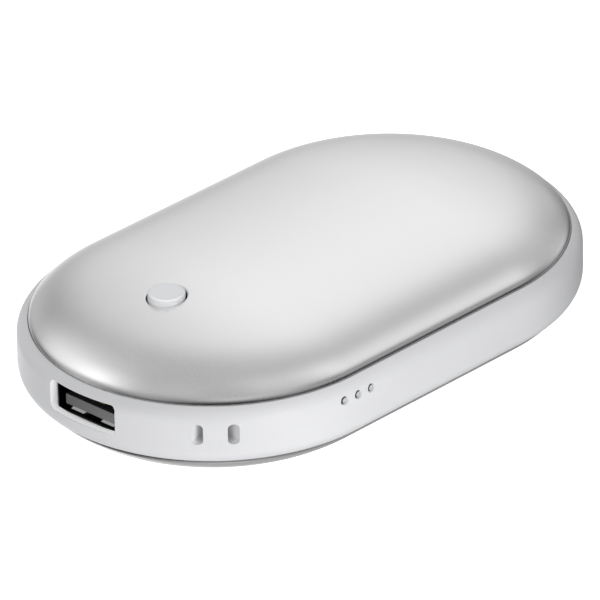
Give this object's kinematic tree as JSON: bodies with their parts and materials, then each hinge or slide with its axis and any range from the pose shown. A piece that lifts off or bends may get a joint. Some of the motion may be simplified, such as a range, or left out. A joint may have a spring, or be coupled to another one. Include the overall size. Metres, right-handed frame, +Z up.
{
  "type": "rechargeable hand warmer",
  "caption": "Pebble-shaped rechargeable hand warmer with two metal covers on a white plastic band, a power button, a power outlet, charge lights and a lanyard eye.",
  "frame": {"origin": "middle of the flat spot on the bottom cover that the object rests on", "axes": "+X along the body away from the power outlet, +Y across it away from the charge lights, +Z up out of the top cover"},
  "size_m": [0.1, 0.0624, 0.0242],
  "materials": {
    "cover_metal": "satin, fine blasted and clear anodised",
    "band_plastic": "white moulding, semi-gloss",
    "carrier_plastic": "natural moulding",
    "screw_steel": "blackened steel",
    "button_plastic": "frosted translucent white",
    "dark_plastic": "black moulding",
    "tin_plate": "tinned steel",
    "board_laminate": "green solder mask",
    "outlet_black": "black-plated steel",
    "tongue_plastic": "dark grey moulding",
    "contact_brass": "gold flash",
    "led_phosphor": "phosphor",
    "light_pipe": "clear, frosted end",
    "ferrite": "ferrite",
    "capacitor_ceramic": "ceramic",
    "cell_steel": "nickel-plated steel",
    "sleeve_film": "blue shrink film",
    "nickel": "nickel strip",
    "lead_black": "silicone insulation",
    "lead_red": "silicone insulation",
    "heater_film": "amber polyimide",
    "foam": "closed-cell foam",
    "bead_epoxy": "epoxy bead"
  },
  "bodies": {
    "case": {"top_cover": "cover_metal", "bottom_cover": "cover_metal", "middle_frame": "band_plastic", "upper_carrier": "carrier_plastic", "lower_carrier": "carrier_plastic", "upper_screws": "screw_steel", "lower_screws": "screw_steel", "switch_body": "dark_plastic", "switch_cover": "tin_plate", "switch_dome": "tin_plate", "switch_pins": "tin_plate", "main_board": "board_laminate", "board_screws": "screw_steel", "usb_a_shell": "outlet_black", "usb_a_tongue": "tongue_plastic", "usb_a_contacts": "contact_brass", "inlet_shell": "tin_plate", "inlet_tongue": "dark_plastic", "inlet_contacts": "contact_brass", "led_chips": "led_phosphor", "light_guide": "light_pipe", "inductor": "ferrite", "power_chips": "dark_plastic", "capacitors": "capacitor_ceramic", "resistors": "dark_plastic", "left_cell": "cell_steel", "right_cell": "cell_steel", "left_sleeve": "sleeve_film", "right_sleeve": "sleeve_film", "positive_strip": "nickel", "negative_strip": "nickel", "negative_lead": "lead_black", "top_heater": "heater_film", "bottom_heater": "heater_film", "top_pad": "foam", "bottom_pad": "foam", "thermistor": "bead_epoxy", "top_heater_leads": "lead_red", "bottom_heater_leads": "lead_red"},
    "button": {"power_button": "button_plastic", "switch_plunger": "dark_plastic"}
  },
  "joints": [
    {"name": "button_press", "type": "slide", "parent": "case", "child": "button", "axis": [0, 0, -1], "range_m": [0, 0.0003], "stiffness_N_per_m": 1500, "springref_m": -0.0006}
  ]
}
